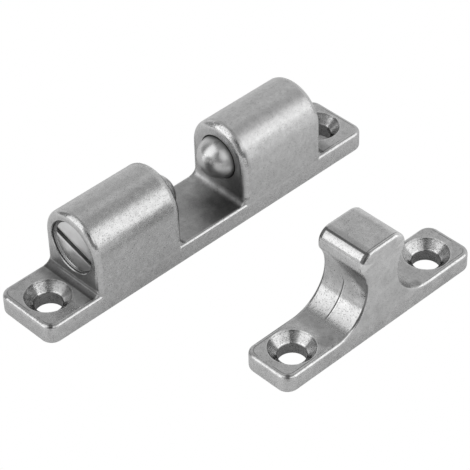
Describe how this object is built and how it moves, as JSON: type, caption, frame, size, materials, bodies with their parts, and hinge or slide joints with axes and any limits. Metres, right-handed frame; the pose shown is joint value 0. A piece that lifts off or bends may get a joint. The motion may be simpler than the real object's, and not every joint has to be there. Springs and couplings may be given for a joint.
{
  "type": "double ball catch",
  "caption": "Cupboard ball catch: a cast plate with facing sprung balls in barrels behind slotted adjusting plugs, and the necked strike that snaps between them.",
  "frame": {"origin": "centre of the catch's flat mounting face", "axes": "+X along the catch and the line of its two balls, +Y across it away from the strike, +Z out of the mounting face"},
  "size_m": [0.06, 0.0396, 0.0152],
  "materials": {
    "catch_casting": "cast stainless steel, tumbled to a satin sheen with a faint grain",
    "strike_casting": "cast stainless steel, tumbled to a satin sheen with a faint grain",
    "ball_steel": "polished hardened steel",
    "plug_steel": "turned steel, smooth",
    "spring_wire": "drawn spring wire"
  },
  "bodies": {
    "catch": {"catch_body": "catch_casting", "strike": "strike_casting"},
    "left_ball": {"left_ball": "ball_steel"},
    "left_spring": {"left_spring": "spring_wire"},
    "left_plug": {"left_adjusting_plug": "plug_steel"},
    "right_ball": {"right_ball": "ball_steel"},
    "right_spring": {"right_spring": "spring_wire"},
    "right_plug": {"right_adjusting_plug": "plug_steel"}
  },
  "joints": [
    {"name": "left_ball_press", "type": "slide", "parent": "catch", "child": "left_ball", "axis": [-1, 0, 0], "range_m": [0, 0.0025], "stiffness_N_per_m": 3600, "springref_m": -0.002, "deforming": ["left_spring"]},
    {"name": "left_plug_advance", "type": "slide", "parent": "catch", "child": "left_spring", "axis": [1, 0, 0], "range_m": [0, 0.0015], "deforming": ["left_spring"]},
    {"name": "left_plug_turn", "type": "hinge", "parent": "left_spring", "child": "left_plug", "pos_m": [-0.019, 0, 0.00882], "axis": [1, 0, 0], "range_deg": [0, 540]},
    {"name": "right_ball_press", "type": "slide", "parent": "catch", "child": "right_ball", "axis": [1, 0, 0], "range_m": [0, 0.0025], "stiffness_N_per_m": 3600, "springref_m": -0.002, "deforming": ["right_spring"]},
    {"name": "right_plug_advance", "type": "slide", "parent": "catch", "child": "right_spring", "axis": [-1, 0, 0], "range_m": [0, 0.0015], "deforming": ["right_spring"]},
    {"name": "right_plug_turn", "type": "hinge", "parent": "right_spring", "child": "right_plug", "pos_m": [0.019, 0, 0.00882], "axis": [-1, 0, 0], "range_deg": [0, 540]}
  ],
  "couplings": [
    {"joint": "left_plug_turn", "follows": "left_plug_advance", "rad_per_m": 6283},
    {"joint": "right_plug_turn", "follows": "right_plug_advance", "rad_per_m": 6283}
  ]
}
